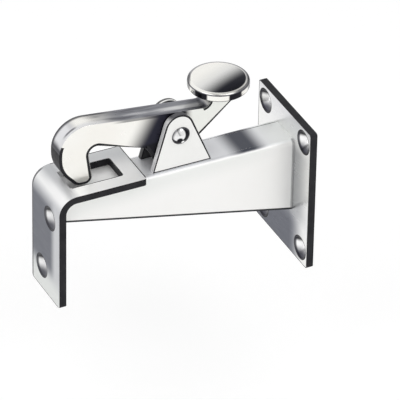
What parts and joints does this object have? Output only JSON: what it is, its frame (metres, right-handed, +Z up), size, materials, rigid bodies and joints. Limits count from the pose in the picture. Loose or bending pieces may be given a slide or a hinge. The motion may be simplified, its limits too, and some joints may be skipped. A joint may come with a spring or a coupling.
{
  "type": "foot-operated door holder",
  "caption": "Wall-mounted arm with a pivoting hooked foot lever that drops into the slot of an angle keeper to hold a door open.",
  "frame": {"origin": "centre of the wall plate's back face, which lies on the wall", "axes": "+X points away from the wall along the arm, +Y to the side with ear_near, +Z up"},
  "size_m": [0.142, 0.06, 0.1149],
  "materials": {
    "zinc_steel": "bright zinc-plated sheet steel",
    "zinc_casting": "polished and zinc-plated malleable casting",
    "rivet_steel": "bright rivet steel"
  },
  "bodies": {
    "holder": {"wall_plate": "zinc_steel", "arm": "zinc_steel", "ear_near": "zinc_steel", "ear_far": "zinc_steel", "pivot_rivet": "rivet_steel", "keeper": "zinc_steel"},
    "lever": {"hook_lever": "zinc_casting"}
  },
  "joints": [
    {"name": "lever_pivot", "type": "hinge", "parent": "holder", "child": "lever", "pos_m": [0.069, 0, 0.048], "axis": [0, -1, 0], "range_deg": [0, 48]}
  ]
}
